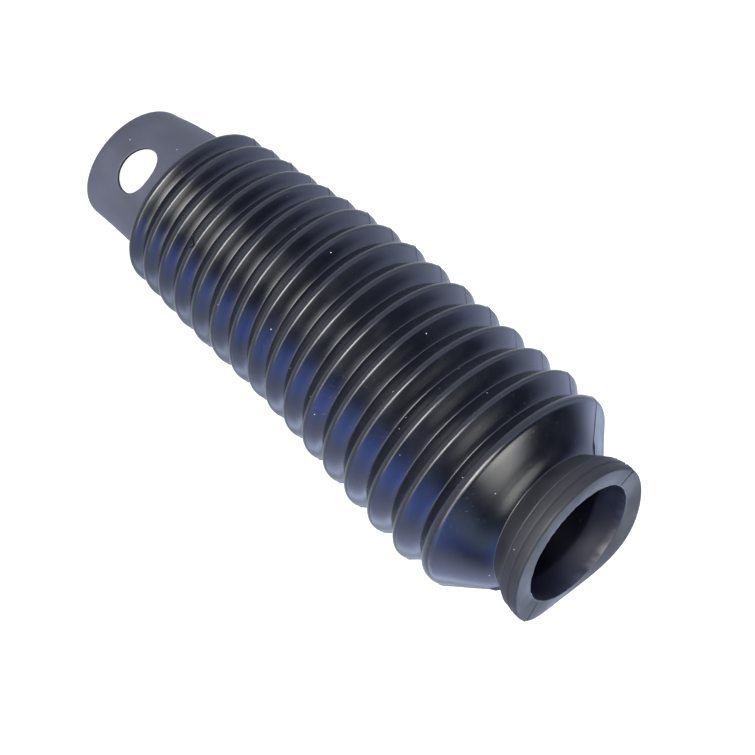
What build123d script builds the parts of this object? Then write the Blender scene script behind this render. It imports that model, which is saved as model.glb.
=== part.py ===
from build123d import *
import os
from math import cos, radians, sin, tan

# Moulded rubber bellows boot, one piece, standing on the end of its collar.
# The origin is the centre of that end and +Z runs along the boot to its lip.
# Lengths are in millimetres, and angles in degrees from the boot's axis.

# Collar, the plain sleeve at the small end
collar_length = 27.4        # end face to the root of the first fold
collar_bore_d = 37.0        # of the land that grips the tube
collar_land = 8.5           # end face to the top of that land
collar_relief = 1.5         # how much further out the bore is above the land
collar_end_wall = 1.8       # round the land, at the end face
collar_flare = 2.3          # how much further out the outside is where the folds begin
collar_end_radius = 1.2     # rounding of the outer end edge

# Oval window through the front of the collar
window_width = 15.8
window_height = 12.1
window_centre_height = 17.2

# Folds, which widen and spread out from the collar to the cone
fold_count = 16
first_fold_d = 57.4         # over the first crest
widest_fold_d = 72.4        # over the last crest but one
last_fold_d = 70.8          # over the last crest, where the cone begins
first_pitch = 7.8
last_pitch = 11.5
widening_power = 0.87       # 1 is a straight taper, less widens the folds early
root_angle = 60.0           # of the first flank, out from the collar
flank_angle = 41.0          # of all other flanks
crest_radius = 1.5
crest_facets = 3            # flats that round each crest
fold_wall = 2.0             # square to the flanks

# Cone that closes the last fold down to the neck
cone_angle = 44.5
shoulder_radius = 3.0       # rounding of the last crest
shoulder_facets = 4

# Neck and flared lip at the large end
neck_d = 45.4               # outside, at the waist
neck_to_lip = 10.3          # waist to the lip's face
lip_edge_height = 5.0
lip_back_d = 51.8           # at the back of the lip's edge
lip_face_d = 52.4           # at the lip's face
mouth_bore_d = 40.0


def slope(angle):
    """Change in radius for each millimetre along the axis."""
    return tan(radians(angle))


def crest_d(fold):
    """Outside diameter over any crest but the last, counted from 0 at the collar."""
    share = fold / (fold_count - 2)
    return first_fold_d + (widest_fold_d - first_fold_d) * share ** widening_power


def pitch_after(fold):
    """Distance along the axis from one crest to the next."""
    share = fold / (fold_count - 2)
    return first_pitch + (last_pitch - first_pitch) * share


def round_crest(centre, radius, lower_angle, upper_angle, facets):
    """Points (radius, height) round a crest, from its lower flank to its upper one."""
    steps = [-lower_angle + (lower_angle + upper_angle) * i / facets for i in range(facets + 1)]
    return [(centre[0] + radius * cos(radians(a)), centre[1] + radius * sin(radians(a))) for a in steps]


def crest_inside(centre, radius, lower_angle, upper_angle):
    """Sharp corner inside a crest, one wall in from both of its flanks."""
    lower = radians(lower_angle)
    upper = radians(upper_angle)
    reach = (radius - fold_wall) / (1 + cos(lower + upper))
    return (centre[0] + reach * (cos(lower) + cos(upper)), centre[1] + reach * (sin(upper) - sin(lower)))


def valley_between(lower_crest, upper_crest):
    """Corner where two neighbouring crests' flanks meet, from the crests' last and first points."""
    r1, z1 = lower_crest[-1]
    r2, z2 = upper_crest[0]
    height = (z1 + z2 + (r1 - r2) / slope(flank_angle)) / 2
    return (r1 - slope(flank_angle) * (height - z1), height)


# Radii of the collar
collar_bore_r = collar_bore_d / 2
collar_relief_r = collar_bore_r + collar_relief
collar_end_r = collar_bore_r + collar_end_wall
collar_root_r = collar_end_r + collar_flare

# Crests, from the collar to the shoulder: centre of rounding, its radius, flank angles and facets
first_centre_r = first_fold_d / 2 - crest_radius
root_rise = first_centre_r + crest_radius * cos(radians(root_angle)) - collar_root_r
height = collar_length + root_rise / slope(root_angle) + crest_radius * sin(radians(root_angle))
crests = []
for fold in range(fold_count - 1):
    lower_angle = root_angle if fold == 0 else flank_angle
    centre = (crest_d(fold) / 2 - crest_radius, height)
    crests.append((centre, crest_radius, lower_angle, flank_angle, crest_facets))
    height += pitch_after(fold)
shoulder_centre = (last_fold_d / 2 - shoulder_radius, height)
crests.append((shoulder_centre, shoulder_radius, flank_angle, cone_angle, shoulder_facets))

# Waist and lip
cone_top_r, cone_top_height = round_crest(*crests[-1])[-1]
waist_height = cone_top_height + (cone_top_r - neck_d / 2) / slope(cone_angle)
lip_height = waist_height + neck_to_lip

# Outside of the section, from the collar's end to the lip's face
outside = [(collar_end_r, 0), (collar_root_r, collar_length)]
for lower, upper in zip(crests, crests[1:]):
    outside += round_crest(*lower)
    outside.append(valley_between(round_crest(*lower), round_crest(*upper)))
outside += round_crest(*crests[-1])
outside.append((neck_d / 2, waist_height))
outside += [(lip_back_d / 2, lip_height - lip_edge_height), (lip_face_d / 2, lip_height)]

# Inside of the section, from the collar's end to the mouth, one wall in from the folds
collar_wall_in = fold_wall / cos(radians(root_angle))
collar_bore_top = collar_length + (collar_relief_r - collar_root_r + collar_wall_in) / slope(root_angle)
inside = [(collar_bore_r, 0), (collar_bore_r, collar_land)]
inside += [(collar_relief_r, collar_land + collar_relief), (collar_relief_r, collar_bore_top)]
for lower, upper in zip(crests, crests[1:]):
    valley_r, valley_height = valley_between(round_crest(*lower), round_crest(*upper))
    inside.append(crest_inside(*lower[:4]))
    inside.append((valley_r - fold_wall / cos(radians(flank_angle)), valley_height))
inside.append(crest_inside(*crests[-1][:4]))
mouth_bore_r = mouth_bore_d / 2
mouth_wall_in = fold_wall / cos(radians(cone_angle))
mouth_bore_bottom = waist_height - (mouth_bore_r - neck_d / 2 + mouth_wall_in) / slope(cone_angle)
inside += [(mouth_bore_r, mouth_bore_bottom), (mouth_bore_r, lip_height)]

# One closed outline, of which only the collar's outer end edge is filleted
corners = outside + inside[::-1]
roundings = [collar_end_radius] + [0] * (len(corners) - 1)
with BuildPart() as bellows_boot:
    with BuildSketch(Plane.XZ) as section:
        with BuildLine() as outline:
            FilletPolyline(*corners, radius=roundings, close=True)
        make_face()
    revolve(axis=Axis.Z)
    with BuildSketch(Plane.XZ) as window:
        with Locations((0, window_centre_height)):
            Ellipse(window_width / 2, window_height / 2)
    extrude(amount=2 * collar_root_r, mode=Mode.SUBTRACT)

os.makedirs("parts", exist_ok=True)
bellows_boot.part.label = "bellows_boot"
export_step(bellows_boot.part, "parts/bellows_boot.step")
print(f"Boot {lip_height:.2f} long, waist at {waist_height:.2f}")
print(f"Bores end at {collar_bore_top:.2f} and {mouth_bore_bottom:.2f}")
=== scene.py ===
"""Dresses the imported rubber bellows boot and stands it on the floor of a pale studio.

The boot is one moulding: a collar with an oval window, sixteen folds, a cone and a flared
lip. Its section is traced in the XZ plane, swept round the Z axis and bent a little, as a
soft moulding is when it stands unheld. Lengths are in metres unless a name says otherwise.
"""

import logging
import math
from collections.abc import Iterable
from dataclasses import dataclass, field
from enum import Enum

import bmesh
import bpy
from bmesh.types import BMEdge, BMesh, BMFace, BMVert
from bpy.types import ID, Material, Node, NodeOutputs, NodeSocket, NodeTree, Object
from mathutils import Matrix, Quaternion, Vector, noise


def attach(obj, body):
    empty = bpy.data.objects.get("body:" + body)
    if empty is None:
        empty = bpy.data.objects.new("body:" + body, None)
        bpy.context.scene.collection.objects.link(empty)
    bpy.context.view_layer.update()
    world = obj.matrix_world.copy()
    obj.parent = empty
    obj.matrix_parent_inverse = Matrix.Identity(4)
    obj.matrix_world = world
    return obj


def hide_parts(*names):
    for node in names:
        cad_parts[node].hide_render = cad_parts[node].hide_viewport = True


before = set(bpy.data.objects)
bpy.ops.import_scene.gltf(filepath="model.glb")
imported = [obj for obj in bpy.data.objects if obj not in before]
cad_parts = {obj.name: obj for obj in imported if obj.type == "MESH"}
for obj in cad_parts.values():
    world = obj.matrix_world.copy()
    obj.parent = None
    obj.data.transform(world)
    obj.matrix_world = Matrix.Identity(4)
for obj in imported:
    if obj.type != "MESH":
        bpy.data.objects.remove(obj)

Pair = tuple[float, float]
Triple = tuple[float, float, float]
Value = NodeSocket | float | Triple

MM = 0.001
UPRIGHT = Vector((0, 0, 1))
NODE = "bellows_boot"
log = logging.getLogger("bellows_boot_scene")


def from_axis(place: Vector) -> Vector:
    """Gives a place's level offset from the boot's axis."""
    return Vector((place.x, place.y, 0))


def level_towards(bearing_deg: float) -> Vector:
    """Gives the level direction at a bearing, 0 towards -Y and 90 towards +X."""
    bearing = math.radians(bearing_deg)
    return Vector((math.sin(bearing), -math.cos(bearing), 0))


def round_off(bm: BMesh, geom: list, affect: str, offset: float, segments: int) -> None:
    """Rounds the edges or vertices in geom, as affect says, in place of their sharp corners."""
    bmesh.ops.bevel(
        bm, geom=geom, offset=offset, segments=segments, profile=0.5, affect=affect, material=-1
    )


def add_object(name: str, data: ID) -> Object:
    """Adds an object to the scene.

    Args:
        name: The object's name.
        data: Its mesh, light or camera.

    Returns:
        The object.
    """
    made = bpy.data.objects.new(name, data)
    bpy.context.scene.collection.objects.link(made)
    return made


def add_mesh(name: str, bm: BMesh) -> Object:
    """Adds a built mesh to the scene, and frees what it was built in.

    Args:
        name: Name of the mesh and its object.
        bm: The built mesh.

    Returns:
        The object.
    """
    mesh = bpy.data.meshes.new(name)
    bm.to_mesh(mesh)
    bm.free()
    return add_object(name, mesh)


# The section of the boot


@dataclass(frozen=True)
class Rounding:
    """Radius of a rounded corner, and the number of facets that round it."""

    radius: float
    facets: int


@dataclass(frozen=True)
class Corner:
    """One corner of the boot's section: its distance from the axis, height and rounding."""

    radius: float
    height: float
    rounding: Rounding


@dataclass(frozen=True)
class Crest:
    """One rounded crest of the folds.

    Its place is that of its rounding's centre, and lower and upper are the angles of the
    flanks beside it, from the axis in degrees.
    """

    radius: float
    height: float
    rounding: Rounding
    lower: float
    upper: float

    def tip(self) -> Pair:
        """Finds the corner where the two flanks would meet.

        Returns:
            The corner's distance from the axis and its height.
        """
        reach = self.rounding.radius / math.cos(math.radians((self.lower + self.upper) / 2))
        turn = math.radians((self.upper - self.lower) / 2)
        return self.radius + reach * math.cos(turn), self.height + reach * math.sin(turn)

    def hollow(self, wall: float) -> Pair:
        """Finds the corner inside the crest, one wall in from both flanks.

        Args:
            wall: Thickness of the fold, square to its flanks.

        Returns:
            The corner's distance from the axis and its height.
        """
        lower = math.radians(self.lower)
        upper = math.radians(self.upper)
        reach = (self.rounding.radius - wall) / (1 + math.cos(lower + upper))
        along = reach * (math.cos(lower) + math.cos(upper))
        return self.radius + along, self.height + reach * (math.sin(upper) - math.sin(lower))


@dataclass(frozen=True)
class Collar:
    """Plain sleeve at the small end, with a land in its bore that grips the tube."""

    length: float = 27.4 * MM
    end_radius: float = 20.3 * MM
    root_radius: float = 22.6 * MM
    bore_radius: float = 18.5 * MM
    land: float = 8.5 * MM
    relief_radius: float = 20.0 * MM
    end_rounding: Rounding = Rounding(1.8 * MM, 6)
    root_rounding: Rounding = Rounding(1.2 * MM, 5)
    bore_rounding: Rounding = Rounding(0.5 * MM, 3)

    def outside(self) -> list[Corner]:
        """Gives the corners from the end face up to the root of the first fold."""
        return [
            Corner(self.end_radius, 0.0, self.end_rounding),
            Corner(self.root_radius, self.length, self.root_rounding),
        ]

    def inside(self) -> list[Corner]:
        """Gives the corners of the land and the step above it, from the end face up."""
        step = self.relief_radius - self.bore_radius
        return [
            Corner(self.bore_radius, 0.0, self.bore_rounding),
            Corner(self.bore_radius, self.land, self.bore_rounding),
            Corner(self.relief_radius, self.land + step, self.bore_rounding),
        ]

    def outer_radius(self, height: float) -> float:
        """Gives the outside radius of the sleeve at a height."""
        share = height / self.length
        return self.end_radius + (self.root_radius - self.end_radius) * share


@dataclass(frozen=True)
class FoldStack:
    """Sixteen folds, which widen and spread out from the collar to the cone."""

    count: int = 16
    first_radius: float = 28.7 * MM
    widest_radius: float = 36.2 * MM
    last_radius: float = 35.4 * MM
    first_pitch: float = 7.8 * MM
    last_pitch: float = 11.5 * MM
    widening_power: float = 0.87
    root_angle: float = 60.0
    flank_angle: float = 41.0
    cone_angle: float = 44.5
    crest_rounding: Rounding = Rounding(1.5 * MM, 6)
    shoulder_rounding: Rounding = Rounding(3.0 * MM, 9)
    valley_rounding: Rounding = Rounding(0.4 * MM, 3)
    hollow_rounding: Rounding = Rounding(1.0 * MM, 2)
    end_hollow_rounding: Rounding = Rounding(1.0 * MM, 3)
    wall: float = 2.0 * MM

    def crest_radius(self, fold: int) -> float:
        """Gives the radius over any crest but the last, counted from 0 at the collar."""
        widening = (fold / (self.count - 2)) ** self.widening_power
        return self.first_radius + (self.widest_radius - self.first_radius) * widening

    def pitch_after(self, fold: int) -> float:
        """Gives the distance along the axis from one crest to the next."""
        return self.first_pitch + (self.last_pitch - self.first_pitch) * fold / (self.count - 2)

    def crests(self, collar: Collar) -> list[Crest]:
        """Places every crest above the collar.

        Args:
            collar: The sleeve that the first fold rises from.

        Returns:
            The crests from the collar to the shoulder.
        """
        root = math.radians(self.root_angle)
        flank = self.flank_angle
        crest = self.crest_rounding
        shoulder = self.shoulder_rounding
        rise = self.first_radius - crest.radius * (1 - math.cos(root)) - collar.root_radius
        height = collar.length + rise / math.tan(root) + crest.radius * math.sin(root)
        placed = []
        for fold in range(self.count - 1):
            lower = self.root_angle if fold == 0 else flank
            centre = self.crest_radius(fold) - crest.radius
            placed.append(Crest(centre, height, crest, lower, flank))
            height += self.pitch_after(fold)
        centre = self.last_radius - shoulder.radius
        placed.append(Crest(centre, height, shoulder, flank, self.cone_angle))
        return placed

    def valley(self, lower: Crest, upper: Crest) -> Pair:
        """Finds where the flanks between two neighbouring crests meet.

        Args:
            lower: The crest nearer to the collar.
            upper: The crest nearer to the lip.

        Returns:
            The corner's distance from the axis and its height.
        """
        slope = math.tan(math.radians(self.flank_angle))
        r1, z1 = lower.tip()
        r2, z2 = upper.tip()
        height = (z1 + z2 + (r1 - r2) / slope) / 2
        return r1 - slope * (height - z1), height

    def outside(self, crests: list[Crest]) -> list[Corner]:
        """Gives the corners over all crests and valleys.

        Args:
            crests: The crests from the collar to the shoulder.

        Returns:
            The corners in the same order.
        """
        corners = []
        for lower, upper in zip(crests, crests[1:]):
            corners.append(Corner(*lower.tip(), lower.rounding))
            corners.append(Corner(*self.valley(lower, upper), self.valley_rounding))
        corners.append(Corner(*crests[-1].tip(), crests[-1].rounding))
        return corners

    def inside(self, crests: list[Crest]) -> list[Corner]:
        """Gives the corners inside the folds, one wall in from their flanks.

        Args:
            crests: The crests from the collar to the shoulder.

        Returns:
            The corners in the same order.
        """
        corners = []
        inset = self.wall / math.cos(math.radians(self.flank_angle))
        for lower, upper in zip(crests, crests[1:]):
            radius, height = self.valley(lower, upper)
            corners.append(Corner(*lower.hollow(self.wall), self.hollow_rounding))
            corners.append(Corner(radius - inset, height, self.hollow_rounding))
        corners.append(Corner(*crests[-1].hollow(self.wall), self.end_hollow_rounding))
        return corners


@dataclass(frozen=True)
class NeckAndLip:
    """Waist where a band sits, and the flared lip with its bead round the mouth."""

    waist_radius: float = 22.7 * MM
    waist_to_lip: float = 10.3 * MM
    back_radius: float = 25.9 * MM
    back_below_lip: float = 5.0 * MM
    bead_radius: float = 26.2 * MM
    bead_height: float = 2.2 * MM
    bead_foot_inset: float = 0.05 * MM
    bead_face_inset: float = 0.1 * MM
    line_depth: float = 0.22 * MM
    line_width: float = 0.45 * MM
    groove_depth: float = 0.5 * MM
    mouth_radius: float = 20.0 * MM
    waist_rounding: Rounding = Rounding(0.35 * MM, 4)
    back_rounding: Rounding = Rounding(0.2 * MM, 2)
    line_rounding: Rounding = Rounding(0.08 * MM, 2)
    bead_rounding: Rounding = Rounding(0.75 * MM, 6)
    mouth_rounding: Rounding = Rounding(0.25 * MM, 3)
    throat_rounding: Rounding = Rounding(2.0 * MM, 6)

    def waist_height(self, shoulder: Crest) -> float:
        """Gives the height at which the cone has come in to the waist's radius."""
        radius, height = shoulder.tip()
        return height + (radius - self.waist_radius) / math.tan(math.radians(shoulder.upper))

    def lip_height(self, shoulder: Crest) -> float:
        """Gives the height of the lip's face, which is the length of the boot."""
        return self.waist_height(shoulder) + self.waist_to_lip

    def outside(self, shoulder: Crest) -> list[Corner]:
        """Gives the corners from the waist to the lip's face.

        Args:
            shoulder: The last crest, where the cone begins.

        Returns:
            The corners, with a fine line at the lip's back and a groove behind its bead.
        """
        top = self.lip_height(shoulder)
        line = top - self.back_below_lip
        bead = top - self.bead_height
        fine = self.line_rounding
        edge = self.back_rounding
        width = self.line_width
        return [
            Corner(self.waist_radius, self.waist_height(shoulder), self.waist_rounding),
            Corner(self.back_radius, line, edge),
            Corner(self.back_radius - self.line_depth, line + width / 2, fine),
            Corner(self.back_radius - self.line_depth / 3, line + width, fine),
            Corner(self.bead_radius - self.bead_foot_inset, bead - width, edge),
            Corner(self.bead_radius - self.groove_depth, bead - width / 3, fine),
            Corner(self.bead_radius, bead, edge),
            Corner(self.bead_radius - self.bead_face_inset, top, self.bead_rounding),
        ]

    def inside(self, shoulder: Crest, wall: float) -> list[Corner]:
        """Gives the corners from the cone's inside up to the mouth.

        Args:
            shoulder: The last crest, where the cone begins.
            wall: Thickness of the cone.

        Returns:
            The corners of the mouth's bore.
        """
        cone = math.radians(shoulder.upper)
        inset = self.mouth_radius - self.waist_radius + wall / math.cos(cone)
        bottom = self.waist_height(shoulder) - inset / math.tan(cone)
        return [
            Corner(self.mouth_radius, bottom, self.throat_rounding),
            Corner(self.mouth_radius, self.lip_height(shoulder), self.mouth_rounding),
        ]


# Features cut and pressed


@dataclass(frozen=True)
class Window:
    """Oval opening through the front of the collar."""

    half_width: float = 7.9 * MM
    half_height: float = 6.05 * MM
    height: float = 17.2 * MM
    squareness: float = 2.15
    edge_rounding: Rounding = Rounding(0.5 * MM, 3)
    bore_tolerance: float = 0.1 * MM

    def reach(self, x: float, z: float) -> float:
        """Tells which side of the oval a place is on.

        Args:
            x: How far it is from the middle of the boot's front.
            z: Its height.

        Returns:
            1 on the oval's edge, less inside it and more outside it.
        """
        across = abs(x) / self.half_width
        up = abs(z - self.height) / self.half_height
        return (across**self.squareness + up**self.squareness) ** (1 / self.squareness)

    def cut(self, bm: BMesh, collar: Collar) -> None:
        """Opens the window and closes the collar's wall round it.

        Args:
            bm: The swept boot, before it is bent.
            collar: The sleeve that the window goes through.
        """
        opened = []
        for face in bm.faces:
            centre = face.calc_center_median()
            if centre.y < 0 and self.reach(centre.x, centre.z) < 1:
                opened.append(face)
        bmesh.ops.delete(bm, geom=opened, context="FACES")
        rim = [edge for edge in bm.edges if edge.is_boundary]
        for vert in {vert for edge in rim for vert in edge.verts}:
            self.pull_to_edge(vert, collar)
        bmesh.ops.bridge_loops(bm, edges=rim)
        round_off(bm, rim, "EDGES", self.edge_rounding.radius, self.edge_rounding.facets)

    def pull_to_edge(self, vert: BMVert, collar: Collar) -> None:
        """Moves a vertex along the collar's wall onto the oval.

        Args:
            vert: A vertex on the ragged rim of the opening.
            collar: The sleeve that the window goes through.
        """
        x, y, z = vert.co
        on_bore = math.hypot(x, y) < collar.relief_radius + self.bore_tolerance
        scale = 1 / self.reach(x, z)
        x *= scale
        z = self.height + (z - self.height) * scale
        radius = collar.relief_radius if on_bore else collar.outer_radius(z)
        vert.co = (x, -math.sqrt(radius**2 - x**2), z)


@dataclass(frozen=True)
class PartingLine:
    """Thin ridges where the two halves of the mould met, on opposite sides of the boot.

    Attributes:
        half_width_deg: Half of the sector that is swept finely for the ridge.
        steps: Steps in that sector.
        ridge_half_deg: Half of the ridge's width.
        ridge: Usual height of the ridge.
        ridge_waver: How much that height comes and goes.
        ridge_grain: Length over which it does.
        flash: Height where flash stands out, how far it does, and over what length.
        flash_even: Share of the flash that isn't ragged.
        flash_grain: Size of its rags.
        flash_row: Offset that makes its rags differ from the ridge's wavering.
        face_mark: Depth of the line that crosses the lip's face.
        face_slope: Upward part of a normal from which on it counts as the lip's face.
        face_depth: How far below the boot's top that face can be.
    """

    half_width_deg: float = 1.2
    steps: int = 6
    ridge_half_deg: float = 0.9
    ridge: float = 0.195 * MM
    ridge_waver: float = 0.13 * MM
    ridge_grain: float = 4.0 * MM
    flash: Triple = (189.5 * MM, 1.2 * MM, 1.3 * MM)
    flash_even: float = 0.8
    flash_grain: float = 1.5 * MM
    flash_row: float = 5.0 * MM
    face_mark: float = 0.35 * MM
    face_slope: float = 0.8
    face_depth: float = 0.3 * MM

    def lift(self, place: Vector) -> float:
        """Works out how far a parting line stands out.

        Args:
            place: A place on the line.

        Returns:
            The height of the ridge or flash there.
        """
        waver = noise.noise(Vector((place.x, 0, place.z)) / self.ridge_grain)
        ragged = noise.noise(Vector((place.x, self.flash_row, place.z)) / self.flash_grain)
        height, reach, length = self.flash
        fading = math.exp(-(((place.z - height) / length) ** 2))
        flash = reach * (self.flash_even + ragged) * fading
        return self.ridge + self.ridge_waver * waver + flash

    def raise_ridge(self, bm: BMesh, inner_limit: float, top: float) -> None:
        """Lifts the outside of the boot along both parting lines and marks the lip's face.

        Args:
            bm: The swept boot, before it is bent.
            inner_limit: Radius below which nothing is outside surface.
            top: Height of the lip's face.
        """
        for vert in bm.verts:
            radius = math.hypot(vert.co.x, vert.co.y)
            if radius < inner_limit:
                continue
            away = abs(math.degrees(math.asin(max(-1.0, min(1.0, vert.co.y / radius)))))
            near = 1 - away / self.ridge_half_deg
            if near < 0:
                continue
            outward = from_axis(vert.co).normalized()
            if vert.normal.z > self.face_slope and vert.co.z > top - self.face_depth:
                vert.co.z -= self.face_mark * near
            elif vert.normal.dot(outward) > 0:
                vert.co += outward * (self.lift(vert.co) * near)


@dataclass(frozen=True)
class Tear:
    """Small tear across the top of one of the first crests.

    Attributes:
        path: Heights in millimetres and bearings in degrees, from -Y towards +X, along it.
        half_width: Distance from the path at which the surface is whole again.
        depth: How deep it goes.
        sector_half_deg: Half of the sector that is swept finely for it.
        steps: Steps in that sector.
        ring_step: Height of the rings that the boot is cut into there.
    """

    path: tuple[Pair, ...] = (
        (52.5, 8.4),
        (54.3, 8.8),
        (55.5, 9.5),
        (56.0, 10.5),
        (56.0, 11.7),
        (55.3, 13.1),
    )
    half_width: float = 0.35 * MM
    depth: float = 0.95 * MM
    sector_half_deg: float = 3.2
    steps: int = 26
    ring_step: float = 0.26 * MM

    def bearing(self) -> float:
        """Gives the bearing of the tear's middle in degrees."""
        bearings = [bearing for _, bearing in self.path]
        return (min(bearings) + max(bearings)) / 2

    def heights(self) -> Pair:
        """Gives the lowest and highest places that the tear reaches."""
        along = [height * MM for height, _ in self.path]
        return min(along) - self.half_width, max(along) + self.half_width

    def open(self, bm: BMesh) -> None:
        """Presses the tear into the outside of the boot.

        Args:
            bm: The swept boot, before it is bent.
        """
        low, high = self.heights()
        bm.normal_update()
        for vert in bm.verts:
            radius = math.hypot(vert.co.x, vert.co.y)
            facing = vert.normal.x * vert.co.x + vert.normal.y * vert.co.y
            if vert.co.y > 0 or facing < 0 or not low <= vert.co.z <= high:
                continue
            bearing = math.degrees(math.atan2(vert.co.x, -vert.co.y))
            here = Vector((vert.co.z, radius * math.radians(bearing)))
            away = min(
                self.distance(here, radius, start, end)
                for start, end in zip(self.path, self.path[1:])
            )
            if away < self.half_width:
                outward = from_axis(vert.co) / radius
                vert.co -= outward * (self.depth * (1 - (away / self.half_width) ** 2))

    @staticmethod
    def distance(here: Vector, radius: float, start: Pair, end: Pair) -> float:
        """Gives the distance from a place to one leg of the path, on the unrolled surface.

        Args:
            here: Height and distance round the surface.
            radius: Radius of the surface.
            start: Height in millimetres and bearing in degrees of the leg's start.
            end: The same of its end.

        Returns:
            The distance.
        """
        a, b = (Vector((z * MM, radius * math.radians(turn))) for z, turn in (start, end))
        share = max(0.0, min(1.0, (here - a).dot(b - a) / (b - a).length_squared))
        return (here - a - (b - a) * share).length


@dataclass(frozen=True)
class TrimmedMouth:
    """Ragged inner edge of the lip's face, where the flash of the mould was cut away."""

    reach: float = 1.1 * MM
    outward: float = 0.22 * MM
    upward: float = 0.11 * MM
    grain: float = 1.6 * MM
    fine_share: float = 0.6
    fine_scale: float = 2.7
    upward_scale: float = 1.9
    upward_shift: Triple = (7.0, 3.0, 5.0)

    def trim(self, bm: BMesh, neck: NeckAndLip, top: float) -> None:
        """Roughens the edge of the mouth.

        Args:
            bm: The swept boot, before it is bent.
            neck: The lip that the mouth is in.
            top: Height of the lip's face.
        """
        edge = Vector((neck.mouth_radius, top))
        for vert in bm.verts:
            radius = math.hypot(vert.co.x, vert.co.y)
            near = 1 - (Vector((radius, vert.co.z)) - edge).length / self.reach
            if near <= 0:
                continue
            place = vert.co / self.grain
            cut = noise.noise(place) + self.fine_share * noise.noise(place * self.fine_scale)
            lift = noise.noise(place * self.upward_scale + Vector(self.upward_shift))
            vert.co += from_axis(vert.co) / radius * (cut * self.outward * near)
            vert.co.z += lift * self.upward * near


@dataclass(frozen=True)
class Station:
    """How the boot has set at one height.

    Attributes:
        height: Height above the collar's end, in millimetres.
        aside: How far the axis leans to one side there, in millimetres.
        tip: Slope of the ring there, down towards the side that the axis leans to.
        nod: Slope of the ring there, up towards +Y.
        slide: How far the ring has crept up the axis, in millimetres.
    """

    height: float
    aside: float
    tip: float = 0.0
    nod: float = 0.0
    slide: float = 0.0

    def values(self) -> Vector:
        """Gives the lean, tip, nod and slide."""
        return Vector((self.aside, self.tip, self.nod, self.slide))


@dataclass(frozen=True)
class Bend:
    """Gentle S that the soft boot has set in.

    Attributes:
        towards: Level direction that the axis leans in.
        stations: How it has set, from the collar's end up.
        lip_waves: Bearings, from -Y towards +X, and how far the lip's edge rises and swells there.
        wave_depth: How far below the lip's face the waves reach.
        wave_radius: Distance from the axis at which they begin.
        wave_width: Distance from there over which they grow to their full height.
        wave_sharpness: Power that keeps each wave to its own bearing.
    """

    towards: Triple = (-0.990, 0.140, 0.0)
    stations: tuple[Station, ...] = (
        Station(0.0, -1.9),
        Station(10.0, -0.9),
        Station(28.0, 0.2, 0.0, -0.01, -0.4),
        Station(45.0, 0.45, -0.013, -0.018, -0.1),
        Station(60.0, 0.65, -0.011, -0.020, -0.3),
        Station(75.0, 1.15, 0.022, -0.020, -0.5),
        Station(86.0, 1.65, 0.028, -0.020, -0.8),
        Station(97.0, 1.80, 0.002, -0.020, -1.0),
        Station(112.0, 1.25, -0.037, -0.020, -1.0),
        Station(130.0, 0.20, -0.062, -0.026, -1.0),
        Station(150.0, -1.0, -0.067, -0.034, -1.1),
        Station(168.0, -1.5, -0.052, -0.034, -1.0),
        Station(178.0, -1.55, -0.036, -0.018, -0.8),
        Station(184.0, -1.65, 0.022, 0.040, -0.5),
        Station(190.0, -1.75, 0.08, 0.125, -0.5),
        Station(197.0, -1.2, 0.065, 0.095, -0.4),
        Station(202.0, -0.85, 0.052, 0.034, 0.0),
    )
    lip_waves: tuple[Triple, ...] = (
        (82.0, 0.9 * MM, 1.2 * MM),
        (135.0, -1.6 * MM, 0.0),
        (202.0, 1.7 * MM, 0.0),
        (255.0, 0.6 * MM, 0.0),
    )
    wave_depth: float = 8.0 * MM
    wave_radius: float = 20.0 * MM
    wave_width: float = 6.0 * MM
    wave_sharpness: int = 6

    def set_at(self, height: float) -> Vector:
        """Gives how the boot has set at a height, on smooth curves through the stations.

        Args:
            height: Height above the collar's end.

        Returns:
            The axis's lean and the ring's tip, nod and slide, with lengths in millimetres.
        """
        at = height / MM
        last = len(self.stations) - 2
        span = 0
        while span < last and at > self.stations[span + 1].height:
            span += 1
        lower, upper = self.stations[span : span + 2]
        length = upper.height - lower.height
        share = (at - lower.height) / length
        curve = lower.values() * (2 * share**3 - 3 * share**2 + 1)
        curve += upper.values() * (3 * share**2 - 2 * share**3)
        curve += self.tangent(span) * (length * (share**3 - 2 * share**2 + share))
        curve += self.tangent(span + 1) * (length * (share**3 - share**2))
        return curve

    def tangent(self, index: int) -> Vector:
        """Works out the slope of the curves at a station, from its neighbours.

        Args:
            index: The station's number.

        Returns:
            The change in its values for each millimetre of height.
        """
        before = self.stations[max(index - 1, 0)]
        after = self.stations[min(index + 1, len(self.stations) - 1)]
        return (after.values() - before.values()) / (after.height - before.height)

    def bow(self, bm: BMesh, top: float) -> None:
        """Moves and tips every ring of the boot onto the curved axis.

        Args:
            bm: The straight boot.
            top: Height of the lip's face.
        """
        towards = Vector(self.towards).normalized()
        for vert in bm.verts:
            height = vert.co.z
            aside, tip, nod, slide = self.set_at(height)
            across = from_axis(vert.co)
            if height > top - self.wave_depth:
                vert.co += self.wave(across, (height - top) / self.wave_depth + 1)
            vert.co += towards * (aside * MM)
            vert.co.z += slide * MM + nod * across.y - tip * across.dot(towards)

    def wave(self, across: Vector, share: float) -> Vector:
        """Gives how far the lip has moved at a place, most at its outer edge.

        Args:
            across: The place, from the axis.
            share: 0 at the foot of the lip and 1 at its face.

        Returns:
            The move, outwards and upwards.
        """
        moved = Vector((0, 0, 0))
        outward = across.normalized()
        for bearing, rise, swell in self.lip_waves:
            facing = max(0.0, outward.dot(level_towards(bearing)))
            moved += (outward * swell + UPRIGHT * rise) * facing**self.wave_sharpness
        return moved * (max(0.0, (across.length - self.wave_radius) / self.wave_width) * share)


# Finishes


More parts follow.
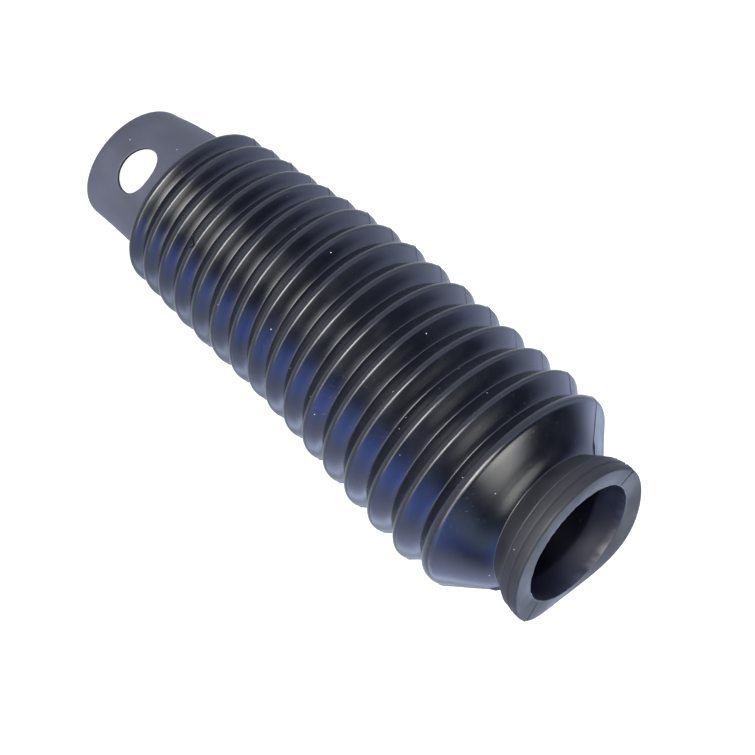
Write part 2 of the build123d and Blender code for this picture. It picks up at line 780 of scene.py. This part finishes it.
class NodeSheet:
    """A node tree that is filled in from left to right."""

    spacing: int = 180
    mix_colours: tuple[int, int] = (6, 7)
    mixed: int = 2

    def __init__(self, tree: NodeTree) -> None:
        """Keeps the tree that the nodes go in."""
        self.tree = tree

    def feed(self, node: Node, values: dict[str | int, Value]) -> None:
        """Links or sets a node's inputs.

        Args:
            node: The node.
            values: An output or a fixed value for each input, by the input's name or number.
        """
        for name, value in values.items():
            target = node.inputs[name]
            if isinstance(value, NodeSocket):
                self.tree.links.new(value, target)
            else:
                target.default_value = (*value, 1) if target.type == "RGBA" else value

    def add(
        self, kind: str, values: dict[str | int, Value] | None = None, **settings: object
    ) -> Node:
        """Adds a node.

        Args:
            kind: The node's Blender type.
            values: An output or a fixed value for each input, by the input's name or number.
            **settings: Properties of the node to set.

        Returns:
            The new node.
        """
        node = self.tree.nodes.new(kind)
        node.location = (len(self.tree.nodes) * self.spacing, 0)
        for name, value in settings.items():
            setattr(node, name, value)
        self.feed(node, values or {})
        return node

    def noise(self, place: Value, scale: Value, detail: float, rough: float = 0.5) -> NodeSocket:
        """Gives noise with scale features a metre, and detail octaves of finer ones."""
        values = {"Vector": place, "Scale": scale, "Detail": detail, "Roughness": rough}
        return self.add("ShaderNodeTexNoise", values).outputs["Fac"]

    def remap(self, value: NodeSocket, start: Pair, end: Pair = (0.0, 1.0)) -> NodeSocket:
        """Stretches the values of one range to another, clamped and smoothed at its ends."""
        values = dict(enumerate((value, *start, *end)))
        return self.add("ShaderNodeMapRange", values, interpolation_type="SMOOTHSTEP").outputs[0]

    def blend(self, mask: NodeSocket, *colours: Value) -> NodeSocket:
        """Gives the first of two colours where the mask is 0, and the second where it is 1."""
        values = {"Factor": mask, **dict(zip(self.mix_colours, colours))}
        return self.add("ShaderNodeMix", values, data_type="RGBA").outputs[self.mixed]

    def math(self, operation: str, *terms: Value) -> NodeSocket:
        """Gives the result of one of Blender's operations on two values."""
        values = dict(enumerate(terms))
        return self.add("ShaderNodeMath", values, operation=operation).outputs[0]

    def group(self, tree: NodeTree, place: Value, number: float) -> NodeOutputs:
        """Places a shared group with its own number, and gives its outputs."""
        return self.add("ShaderNodeGroup", {0: place, 1: number}, node_tree=tree).outputs


class GroupSheet(NodeSheet):
    """A node group that reads a place and one number, and gives values."""

    def __init__(self, name: str, number: str, outputs: Iterable[str]) -> None:
        """Makes the group's ends.

        Args:
            name: The group's name.
            number: Name of its number input, beside Vector.
            outputs: Names of its value outputs.
        """
        super().__init__(bpy.data.node_groups.new(name, "ShaderNodeTree"))
        ends = [("Vector", "INPUT", "NodeSocketVector"), (number, "INPUT", "NodeSocketFloat")]
        ends += [(output, "OUTPUT", "NodeSocketFloat") for output in outputs]
        for end, side, kind in ends:
            self.tree.interface.new_socket(end, in_out=side, socket_type=kind)
        self.place, self.number = self.tree.nodes.new("NodeGroupInput").outputs[:2]
        self.end = self.tree.nodes.new("NodeGroupOutput")


@dataclass
class RubberEffects:
    """The groups that every rubber finish of the boot shares, with scales in features a metre."""

    cloud_scale: float = 70.0
    cloud_octaves: float = 5.0
    cloud_rough: float = 0.55
    cloud_range: Pair = (0.32, 0.7)
    grain_octaves: float = 3.0
    scratch_scale: float = 1500.0
    scratch_octaves: float = 2.0
    scratch_range: Pair = (0.66, 0.72)
    scratch_turn: Triple = (0.5, 0.35, 0.2)
    scratch_stretch: Triple = (1.0, 1.0, 0.07)
    bundle_scale: float = 55.0
    bundle_octaves: float = 1.0
    bundle_range: Pair = (0.52, 0.68)
    speck_scale: float = 560.0
    speck_rarity: float = 0.975

    def __post_init__(self) -> None:
        """Builds the groups once."""
        self.skin = self.make_skin()
        self.scratches = self.make_scratches()
        self.specks = self.make_specks()

    def make_skin(self) -> NodeTree:
        """Makes the moulded skin: broad clouding and a fine grain.

        Returns:
            The group, with the outputs Clouding and Grain.
        """
        sheet = GroupSheet("moulded_skin", "Grain Scale", ("Clouding", "Grain"))
        clouds = sheet.noise(sheet.place, self.cloud_scale, self.cloud_octaves, self.cloud_rough)
        clouding = sheet.remap(clouds, self.cloud_range)
        grain = sheet.noise(sheet.place, sheet.number, self.grain_octaves)
        sheet.feed(sheet.end, {"Clouding": clouding, "Grain": grain})
        return sheet.tree

    def make_scratches(self) -> NodeTree:
        """Makes fine scratches in short bundles, from handling.

        Returns:
            The group, with the output Scratches.
        """
        sheet = GroupSheet("handling_scratches", "Amount", ("Scratches",))
        lay = {"Vector": sheet.place, "Rotation": self.scratch_turn, "Scale": self.scratch_stretch}
        along = sheet.add("ShaderNodeMapping", lay).outputs["Vector"]
        lines = sheet.noise(along, self.scratch_scale, self.scratch_octaves)
        bundles = sheet.noise(sheet.place, self.bundle_scale, self.bundle_octaves)
        thin = sheet.remap(lines, self.scratch_range)
        both = sheet.math("MULTIPLY", thin, sheet.remap(bundles, self.bundle_range))
        sheet.feed(sheet.end, {"Scratches": sheet.math("MULTIPLY", both, sheet.number)})
        return sheet.tree

    def make_specks(self) -> NodeTree:
        """Makes sparse specks of pale dust.

        Returns:
            The group, with the output Specks.
        """
        sheet = GroupSheet("dust_specks", "Size", ("Specks",))
        grid = {"Vector": sheet.place, "Scale": self.speck_scale}
        cells = sheet.add("ShaderNodeTexVoronoi", grid).outputs
        near = sheet.math("LESS_THAN", cells["Distance"], sheet.number)
        chance = sheet.add("ShaderNodeSeparateColor", {"Color": cells["Color"]}).outputs["Red"]
        rare = sheet.math("GREATER_THAN", chance, self.speck_rarity)
        sheet.feed(sheet.end, {"Specks": sheet.math("MULTIPLY", near, rare)})
        return sheet.tree


@dataclass(frozen=True)
class RubberFinish:
    """One finish of the black rubber, from a satin mould face to a matt trimmed one."""

    name: str
    dark: Triple
    pale: Triple
    roughness: Pair
    grain_scale: float = 2000.0
    grain_depth: float = 0.03 * MM
    scratches: float = 0.25
    scratched: Triple = (0.04, 0.04, 0.045)
    speck_size: float = 0.09
    dust: Triple = (0.55, 0.55, 0.52)
    specular: float = 0.5

    def material(self, effects: RubberEffects) -> Material:
        """Makes the finish's material.

        Args:
            effects: The shared node groups.

        Returns:
            The material, which reads Object coordinates.
        """
        made = bpy.data.materials.new(self.name)
        made.use_nodes = True
        made.diffuse_color = (*self.dark, 1)
        sheet = NodeSheet(made.node_tree)
        place = sheet.add("ShaderNodeTexCoord").outputs["Object"]
        skin = sheet.group(effects.skin, place, self.grain_scale)
        marks = sheet.group(effects.scratches, place, self.scratches)["Scratches"]
        specks = sheet.group(effects.specks, place, self.speck_size)["Specks"]
        rubber = sheet.blend(skin["Clouding"], self.dark, self.pale)
        rubbed = sheet.blend(marks, rubber, self.scratched)
        rough = sheet.remap(skin["Clouding"], (0.0, 1.0), self.roughness)
        relief = sheet.math("SUBTRACT", skin["Grain"], marks)
        raised = {"Strength": 1.0, "Distance": self.grain_depth, "Height": relief}
        surface = {
            "Base Color": sheet.blend(specks, rubbed, self.dust),
            "Roughness": sheet.math("ADD", rough, specks),
            "Normal": sheet.add("ShaderNodeBump", raised).outputs["Normal"],
            "Specular IOR Level": self.specular,
        }
        sheet.feed(made.node_tree.nodes["Principled BSDF"], surface)
        return made


class Skin(Enum):
    """The finishes of the boot, in the order of its material slots."""

    FOLDS = RubberFinish(
        name="satin_black_rubber",
        dark=(0.002, 0.0025, 0.005),
        pale=(0.004, 0.005, 0.008),
        roughness=(0.21, 0.28),
        grain_scale=2400.0,
        grain_depth=0.015 * MM,
        scratches=0.5,
    )
    LIP = RubberFinish(
        name="matt_black_rubber",
        dark=(0.005, 0.005, 0.007),
        pale=(0.009, 0.009, 0.012),
        roughness=(0.50, 0.66),
        specular=0.42,
    )
    # The collar's rubber is far paler than that of the folds: painted light, which stands in for
    # the brightness that falls on the sleeve.
    COLLAR = RubberFinish(
        name="collar_rubber_painted_light",
        dark=(0.033, 0.034, 0.047),
        pale=(0.050, 0.052, 0.070),
        roughness=(0.50, 0.60),
    )
    BORE = RubberFinish(
        name="bore_black_rubber",
        dark=(0.005, 0.006, 0.013),
        pale=(0.009, 0.011, 0.020),
        roughness=(0.38, 0.46),
        grain_scale=2200.0,
        grain_depth=0.02 * MM,
        scratches=0.1,
    )


# The boot


@dataclass(frozen=True)
class Sector:
    """Part of a full turn that the section is swept through in even steps."""

    angle_deg: float
    steps: int


@dataclass
class BellowsBoot:
    """The whole moulding, as one mesh that stands for the CAD solid.

    Attributes:
        outer_step: Longest edge of the section on the outside of the boot.
        inner_step: Longest edge elsewhere.
        window_step: Height of the rings that the boot is cut into at the window.
        window_margin: How far above and below the window they go on.
        half_turn_steps: Steps in each half turn, beside the finer sectors.
        level_rise: Rise below which an edge counts as level.
        merge_distance: Distance within which two vertices are one.
        least_wall: Least distance from the mouth's bore to the outside of the boot.
        inward_slope: Outward part of a normal below which a face is inside the boot.
    """

    collar: Collar = field(default_factory=Collar)
    folds: FoldStack = field(default_factory=FoldStack)
    neck: NeckAndLip = field(default_factory=NeckAndLip)
    window: Window = field(default_factory=Window)
    parting: PartingLine = field(default_factory=PartingLine)
    mouth: TrimmedMouth = field(default_factory=TrimmedMouth)
    tear: Tear = field(default_factory=Tear)
    bend: Bend = field(default_factory=Bend)
    outer_step: float = 2.6 * MM
    inner_step: float = 4.2 * MM
    window_step: float = 0.9 * MM
    window_margin: float = 2.0 * MM
    half_turn_steps: int = 80
    level_rise: float = 0.01 * MM
    merge_distance: float = 0.001 * MM
    least_wall: float = 0.8 * MM
    inward_slope: float = -0.1

    def trace_section(self, bm: BMesh) -> None:
        """Draws the closed, rounded section in the XZ plane.

        Args:
            bm: An empty mesh.
        """
        crests = self.folds.crests(self.collar)
        shoulder = crests[-1]
        outside = self.collar.outside() + self.folds.outside(crests) + self.neck.outside(shoulder)
        inside = self.collar.inside()
        inside.append(self.bore_top(crests[0]))
        inside += self.folds.inside(crests) + self.neck.inside(shoulder, self.folds.wall)
        corners = outside + inside[::-1]
        verts = [bm.verts.new((corner.radius, 0, corner.height)) for corner in corners]
        for first, second in zip(verts, verts[1:] + verts[:1]):
            bm.edges.new((first, second))
        offsets = self.rounding_offsets(corners)
        for vert, corner, offset in zip(verts, corners, offsets):
            if offset > 0:
                round_off(bm, [vert], "VERTICES", offset, corner.rounding.facets)
        self.divide_section(bm)

    def bore_top(self, first: Crest) -> Corner:
        """Finds the corner where the collar's bore opens into the first fold.

        Args:
            first: The first crest.

        Returns:
            The corner.
        """
        root = math.radians(first.lower)
        relief = self.collar.relief_radius
        inset = relief - self.collar.root_radius + self.folds.wall / math.cos(root)
        height = self.collar.length + inset / math.tan(root)
        return Corner(relief, height, self.folds.end_hollow_rounding)

    @staticmethod
    def rounding_offsets(corners: list[Corner]) -> list[float]:
        """Works out how far each rounding runs along the edges beside its corner.

        Args:
            corners: The closed section's corners in order.

        Returns:
            One offset for each corner.
        """
        offsets = []
        neighbours = zip(corners[-1:] + corners[:-1], corners, corners[1:] + corners[:1])
        for before, corner, after in neighbours:
            came = Vector((corner.radius - before.radius, corner.height - before.height))
            goes = Vector((after.radius - corner.radius, after.height - corner.height))
            offsets.append(corner.rounding.radius * math.tan(came.angle(goes) / 2))
        return offsets

    def divide_section(self, bm: BMesh) -> None:
        """Divides the section's long edges, more closely beside the window and the tear.

        Args:
            bm: The mesh that holds only the section.
        """
        reach = self.window.half_height + self.window_margin
        low = self.window.height - reach
        for cut in range(int(2 * reach / self.window_step) + 1):
            bmesh.ops.bisect_plane(
                bm,
                geom=bm.verts[:] + bm.edges[:],
                dist=self.merge_distance,
                plane_co=UPRIGHT * (low + cut * self.window_step),
                plane_no=UPRIGHT,
            )
        low, high = self.tear.heights()
        for cut in range(int((high - low) / self.tear.ring_step) + 1):
            height = low + cut * self.tear.ring_step
            outer = self.outermost(bm, height)
            foot = min(outer.verts, key=lambda vert: vert.co.z)
            rise = outer.other_vert(foot).co.z - foot.co.z
            bmesh.utils.edge_split(outer, foot, (height - foot.co.z) / rise)
        for edge in bm.edges[:]:
            ends = [vert.co.z for vert in edge.verts]
            upright = max(ends) - min(ends) > self.level_rise
            inner = upright and edge != self.outermost(bm, sum(ends) / 2)
            cuts = int(edge.calc_length() / (self.inner_step if inner else self.outer_step))
            if cuts:
                bmesh.ops.subdivide_edges(bm, edges=[edge], cuts=cuts)

    @staticmethod
    def outermost(bm: BMesh, height: float) -> BMEdge:
        """Finds the section's edge on the outside of the boot at a height.

        Args:
            bm: The mesh that holds only the section.
            height: A height between the boot's ends.

        Returns:
            The edge that passes that height furthest from the axis.
        """
        passing = [
            edge
            for edge in bm.edges
            if (edge.verts[0].co.z < height) != (edge.verts[1].co.z < height)
        ]
        return max(passing, key=lambda edge: edge.verts[0].co.x + edge.verts[1].co.x)

    def sweep(self, bm: BMesh) -> None:
        """Sweeps the section once round the axis, in finer steps at the parting lines.

        Args:
            bm: The mesh that holds only the section.
        """
        start = Matrix.Rotation(math.radians(-self.parting.half_width_deg), 3, "Z")
        bmesh.ops.rotate(bm, matrix=start, verts=bm.verts[:])
        ring = bm.verts[:] + bm.edges[:]
        for sector in self.sectors():
            angle = math.radians(sector.angle_deg)
            swept = bmesh.ops.spin(
                bm, geom=ring, axis=UPRIGHT, angle=angle, steps=sector.steps, use_merge=False
            )
            ring = swept["geom_last"]
        bmesh.ops.remove_doubles(bm, verts=bm.verts[:], dist=self.merge_distance)
        bmesh.ops.recalc_face_normals(bm, faces=bm.faces[:])

    def sectors(self) -> list[Sector]:
        """Divides the full turn into sectors, from the first parting line round.

        Returns:
            Fine sectors at the parting lines and the tear, and coarse ones between.
        """
        ridge = Sector(2 * self.parting.half_width_deg, self.parting.steps)
        torn = Sector(2 * self.tear.sector_half_deg, self.tear.steps)
        back = Sector(180 - ridge.angle_deg, self.half_turn_steps)
        to_tear = 90 + self.tear.bearing() - self.parting.half_width_deg - torn.angle_deg / 2
        rest = back.angle_deg - to_tear - torn.angle_deg
        step = back.angle_deg / back.steps
        beside = [Sector(angle, round(angle / step)) for angle in (to_tear, rest)]
        return [ridge, back, ridge, beside[0], torn, beside[1]]

    def finish_of(self, face: BMFace, waist: float) -> Skin:
        """Chooses the finish of a face by where it is on the boot.

        Args:
            face: A face of the swept boot.
            waist: Height of the waist.

        Returns:
            The finish.
        """
        centre = face.calc_center_median()
        if face.normal.dot(from_axis(centre).normalized()) < self.inward_slope:
            return Skin.BORE
        if centre.z < self.collar.length:
            return Skin.COLLAR
        if centre.z > waist:
            return Skin.LIP
        return Skin.FOLDS

    def build(self) -> Object:
        """Makes the boot's mesh, dresses it and gives its object.

        Returns:
            The object, at the origin.
        """
        bm = bmesh.new()
        self.trace_section(bm)
        self.sweep(bm)
        shoulder = self.folds.crests(self.collar)[-1]
        waist = self.neck.waist_height(shoulder)
        top = self.neck.lip_height(shoulder)
        order = list(Skin)
        for face in bm.faces:
            face.material_index = order.index(self.finish_of(face, waist))
        self.window.cut(bm, self.collar)
        bmesh.ops.recalc_face_normals(bm, faces=bm.faces[:])
        self.parting.raise_ridge(bm, self.neck.mouth_radius + self.least_wall, top)
        self.tear.open(bm)
        self.mouth.trim(bm, self.neck, top)
        self.bend.bow(bm, top)
        for face in bm.faces:
            face.smooth = True
        boot = add_mesh("moulded_boot", bm)
        effects = RubberEffects()
        for skin in order:
            boot.data.materials.append(skin.value.material(effects))
        return boot


# The studio


@dataclass(frozen=True)
class SoftLight:
    """One oval soft light, made of panes that fade towards its edge.

    Its bearing from the boot is 0 towards -Y and 90 towards +X. Each pane has a share of the
    oval's size and a share of its radiance.
    """

    name: str
    bearing_deg: float
    rise_deg: float
    width: float
    height: float
    radiance: float
    colour: Triple
    distance: float = 0.9
    aim: Triple = (0.0, 0.0, 0.1)
    panes: tuple[Pair, ...] = ((0.6, 0.4), (1.0, 0.35), (1.4, 0.25))
    pane_gap: float = 0.012

    def place(self) -> None:
        """Adds the light to the scene."""
        rise = math.radians(self.rise_deg)
        out = level_towards(self.bearing_deg) * math.cos(rise) + UPRIGHT * math.sin(rise)
        for number, (size, share) in enumerate(self.panes):
            lamp = bpy.data.lights.new(f"{self.name}_{number}", "AREA")
            lamp.shape = "ELLIPSE"
            lamp.size = self.width * size
            lamp.size_y = self.height * size
            area = math.pi / 4 * lamp.size * lamp.size_y
            lamp.energy = self.radiance * share * math.pi * area
            lamp.color = self.colour
            holder = add_object(lamp.name, lamp)
            holder.location = Vector(self.aim) + out * (self.distance + number * self.pane_gap)
            holder.rotation_euler = (-out).to_track_quat("-Z", "Y").to_euler()


@dataclass(frozen=True)
class Studio:
    """Pale floor, soft lights, and a room that fades from the horizon to overhead.

    The floor glows less for the boot than for the camera, and fade holds the upward parts of
    the directions between which the room fades.
    """

    floor_size: float = 12.0
    floor_white: Triple = (0.25, 0.25, 0.25)
    floor_glow: Triple = (0.58, 0.64, 0.78)
    floor_seen: Triple = (0.97, 0.97, 0.97)
    horizon: Triple = (1.15, 1.28, 1.9)
    room: Triple = (0.03, 0.035, 0.05)
    fade: Pair = (0.34, 0.66)
    lights: tuple[SoftLight, ...] = (
        SoftLight("window_light", 2.0, 18.0, 0.75, 0.27, 24.0, (1.0, 0.98, 0.91)),
        SoftLight("window_side", 45.0, 17.0, 0.60, 0.22, 7.5, (1.0, 0.95, 0.68)),
        SoftLight("window_top", 2.0, 34.0, 0.70, 0.24, 5.0, (1.0, 0.97, 0.92)),
        SoftLight("top_light", -42.0, 76.0, 0.54, 0.34, 9.0, (1.0, 1.0, 0.95)),
        SoftLight("side_light", 74.0, 35.0, 0.60, 0.42, 3.6, (0.14, 0.26, 1.0)),
        SoftLight("low_side_light", 122.0, 4.0, 0.64, 0.11, 2.8, (0.62, 0.75, 1.0)),
        SoftLight("high_side_light", 80.0, 55.0, 0.50, 0.30, 1.6, (0.5, 0.65, 1.0)),
        SoftLight("back_light", 178.0, 22.0, 0.80, 0.42, 2.0, (0.66, 0.80, 1.0)),
        SoftLight("high_back_light", 156.0, 50.0, 0.70, 0.40, 6.5, (0.74, 0.84, 1.0)),
    )

    def build(self) -> Object:
        """Makes the floor, the lights and the room.

        Returns:
            The floor.
        """
        bm = bmesh.new()
        bmesh.ops.create_grid(bm, x_segments=1, y_segments=1, size=self.floor_size / 2)
        floor = add_mesh("pale_floor", bm)
        floor.data.materials.append(self.floor_material())
        for light in self.lights:
            light.place()
        self.light_room()
        return floor

    def floor_material(self) -> Material:
        """Makes a floor that is lit from within, as a light table is.

        Returns:
            The material.
        """
        made = bpy.data.materials.new("light_table")
        made.use_nodes = True
        nodes = made.node_tree.nodes
        nodes.remove(nodes["Principled BSDF"])
        sheet = NodeSheet(made.node_tree)
        seen = sheet.add("ShaderNodeLightPath").outputs["Is Camera Ray"]
        colour = sheet.blend(seen, self.floor_glow, self.floor_seen)
        white = sheet.add("ShaderNodeBsdfDiffuse", {"Color": self.floor_white}).outputs["BSDF"]
        glow = sheet.add("ShaderNodeEmission", {"Color": colour}).outputs["Emission"]
        both = sheet.add("ShaderNodeAddShader", {0: white, 1: glow}).outputs["Shader"]
        sheet.feed(nodes["Material Output"], {"Surface": both})
        return made

    def light_room(self) -> None:
        """Makes the room's light: dim overhead and bright at the horizon."""
        world = bpy.data.worlds.new("studio_room")
        world.use_nodes = True
        bpy.context.scene.world = world
        sheet = NodeSheet(world.node_tree)
        direction = sheet.add("ShaderNodeTexCoord").outputs["Generated"]
        upward = sheet.add("ShaderNodeSeparateXYZ", {"Vector": direction}).outputs["Z"]
        colour = sheet.blend(sheet.remap(upward, self.fade), self.horizon, self.room)
        sheet.feed(world.node_tree.nodes["Background"], {"Color": colour})


@dataclass(frozen=True)
class Viewpoint:
    """Camera that looks down along the boot from beside its lip."""

    place: Triple = (-0.07119, -0.54035, 0.38172)
    aim: Triple = (0.0028, -0.00039, 0.1183)
    roll_deg: float = 130.98
    lens_mm: float = 95.36
    near_clip: float = 0.01

    def set_up(self) -> None:
        """Adds the camera and makes it the scene's own."""
        data = bpy.data.cameras.new("boot_camera")
        data.lens = self.lens_mm
        data.clip_start = self.near_clip
        camera = add_object("boot_camera", data)
        camera.location = self.place
        look = (Vector(self.aim) - Vector(self.place)).to_track_quat("-Z", "Y")
        roll = Quaternion((0, 0, 1), math.radians(self.roll_deg))
        camera.rotation_mode = "QUATERNION"
        camera.rotation_quaternion = look @ roll
        bpy.context.scene.camera = camera


def main() -> None:
    """Builds the boot and its studio in order, and reports each piece."""
    logging.basicConfig(level=logging.INFO, format="%(name)s: %(message)s")
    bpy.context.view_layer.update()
    Viewpoint().set_up()
    floor = Studio().build()
    boot = BellowsBoot().build()
    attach(boot, "root")
    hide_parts(NODE)
    boot.data.calc_loop_triangles()
    log.info("%s: %d triangles", boot.name, len(boot.data.loop_triangles))
    bpy.context.scene.view_settings.view_transform = "Standard"


if __name__ == "__main__":
    main()
